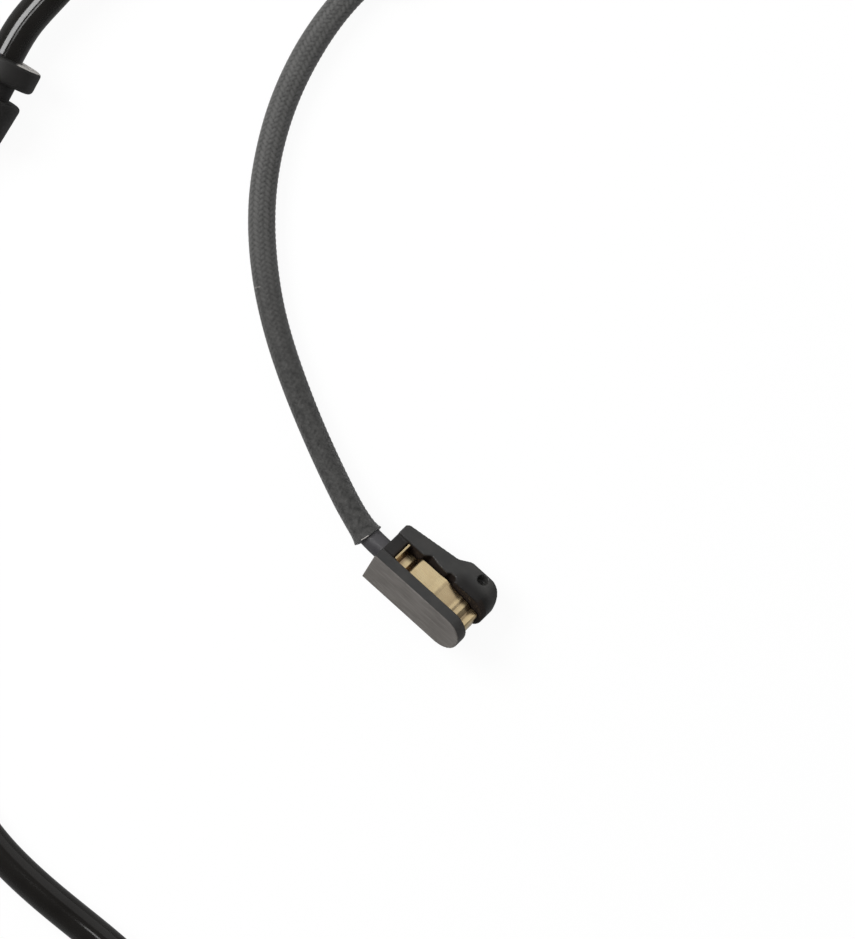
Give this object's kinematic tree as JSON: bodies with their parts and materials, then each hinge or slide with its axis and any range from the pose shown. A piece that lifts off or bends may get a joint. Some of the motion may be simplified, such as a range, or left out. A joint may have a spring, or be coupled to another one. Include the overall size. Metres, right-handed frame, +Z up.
{
  "type": "brake pad wear sensor",
  "caption": "Slotted plastic sensor head with a brass spring clip, on a sleeved lead with a spare coil, a bracket grommet and a sealed plug connector.",
  "frame": {"origin": "below the middle of the sensor head's box, on the plane that everything lies on", "axes": "+X from the head's back, where the lead leaves, towards its nose; +Y from the plain cheek towards the cheek with the lug; +Z up from the plane"},
  "size_m": [0.1662, 0.2817, 0.0155],
  "materials": {
    "black_plastic": "satin",
    "brass_strip": "satin",
    "copper_wire": "satin",
    "wire_insulation": "satin",
    "potting_resin": "gloss",
    "core_sheath": "satin",
    "woven_sleeve": "matte",
    "gloss_tube": "gloss",
    "tie_nylon": "satin",
    "grommet_rubber": "matte",
    "seal_rubber": "matte"
  },
  "bodies": {
    "root": {"sensor_body": "black_plastic", "spring_clip": "brass_strip", "potting_seal": "potting_resin", "core_wire_a": "wire_insulation", "core_wire_b": "wire_insulation", "crimp_sleeve_a": "copper_wire", "crimp_sleeve_b": "copper_wire", "wear_loop": "copper_wire", "lead_core": "core_sheath", "braided_sleeve": "woven_sleeve", "sleeve_bush": "grommet_rubber", "tube_to_coil": "gloss_tube", "lead_coil": "gloss_tube", "coil_tie": "tie_nylon", "bracket_grommet": "grommet_rubber", "tube_to_connector": "gloss_tube", "connector_boot": "grommet_rubber", "connector_housing": "black_plastic", "terminal_lock": "black_plastic", "interface_seal": "seal_rubber", "terminal_a": "brass_strip", "terminal_b": "brass_strip", "connector_wire_a": "wire_insulation", "connector_wire_b": "wire_insulation", "wire_seal_a": "seal_rubber", "wire_seal_b": "seal_rubber"}
  },
  "joints": []
}
